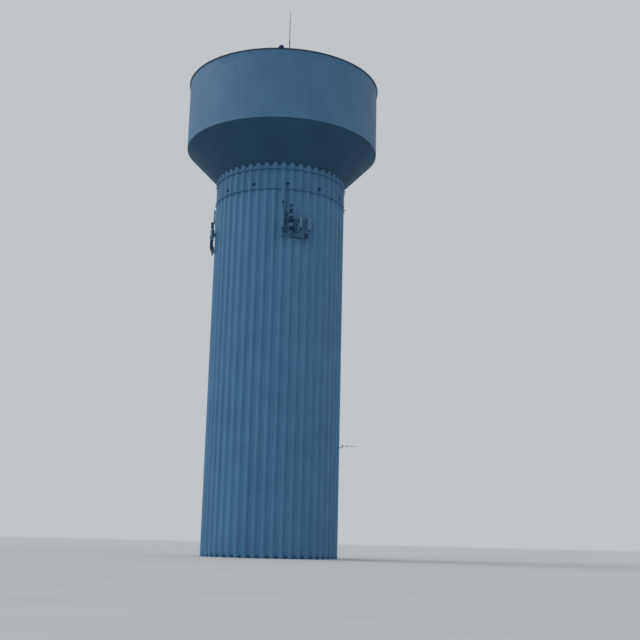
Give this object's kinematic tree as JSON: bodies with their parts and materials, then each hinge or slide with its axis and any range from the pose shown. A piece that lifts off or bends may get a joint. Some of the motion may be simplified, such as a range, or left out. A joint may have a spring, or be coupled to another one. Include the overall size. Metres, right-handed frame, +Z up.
{
  "type": "half-scale model water tower",
  "caption": "Half-size model of an elevated water tank on a round column of upright flutes, with a conical tank bottom, shallow domed roof, aerial groups and a whip aerial.",
  "frame": {"origin": "centre of the base on the ground", "axes": "+Z up, -Y is the side seen in the picture, +X to its right"},
  "size_m": [10.9202, 10.9202, 28.74],
  "materials": {
    "column_paint": "satin weathered blue paint on steel plate",
    "shell_paint": "satin weathered blue paint on steel plate",
    "cone_paint": "satin dark blue paint on steel plate",
    "rim_paint": "satin dark blue paint",
    "roof_paint": "satin chalky blue paint on steel plate",
    "galvanised": "dull blue-grey hot-dip galvanised steel",
    "radome": "matte fibreglass cover in faded blue-grey paint",
    "cable_jacket": "matte blue-black cable jacket",
    "radio_housing": "matte blue-grey powder coat"
  },
  "bodies": {
    "root": {"column_plate_1": "column_paint", "upper_course_plate_1": "column_paint", "cone_plate_1": "cone_paint", "tank_shell_plate_1": "shell_paint", "column_plate_2": "column_paint", "upper_course_plate_2": "column_paint", "cone_plate_2": "cone_paint", "tank_shell_plate_2": "shell_paint", "column_plate_3": "column_paint", "upper_course_plate_3": "column_paint", "cone_plate_3": "cone_paint", "tank_shell_plate_3": "shell_paint", "column_plate_4": "column_paint", "upper_course_plate_4": "column_paint", "cone_plate_4": "cone_paint", "tank_shell_plate_4": "shell_paint", "column_plate_5": "column_paint", "upper_course_plate_5": "column_paint", "cone_plate_5": "cone_paint", "tank_shell_plate_5": "shell_paint", "column_plate_6": "column_paint", "upper_course_plate_6": "column_paint", "cone_plate_6": "cone_paint", "tank_shell_plate_6": "shell_paint", "base_flange": "column_paint", "tank_floor": "roof_paint", "tank_roof": "roof_paint", "roof_edge_ring": "rim_paint", "door_frame": "rim_paint", "door_leaf": "rim_paint", "roof_vent": "rim_paint", "whip_mast": "galvanised", "roof_hatch": "roof_paint", "side_aerial": "galvanised", "front_sector_frame": "galvanised", "front_sector_left_panel": "radome", "front_sector_middle_panel": "radome", "front_sector_right_panel": "radome", "front_sector_radio_units": "radio_housing", "front_sector_upper_aerial": "radome", "front_sector_cables": "cable_jacket", "right_sector_frame": "galvanised", "right_sector_left_panel": "radome", "right_sector_middle_panel": "radome", "right_sector_right_panel": "radome", "right_sector_radio_units": "radio_housing", "right_sector_upper_aerial": "radome", "right_sector_cables": "cable_jacket", "left_sector_frame": "galvanised", "left_sector_left_panel": "radome", "left_sector_middle_panel": "radome", "left_sector_right_panel": "radome", "left_sector_radio_units": "radio_housing", "left_sector_upper_aerial": "radome", "left_sector_cables": "cable_jacket"}
  },
  "joints": []
}
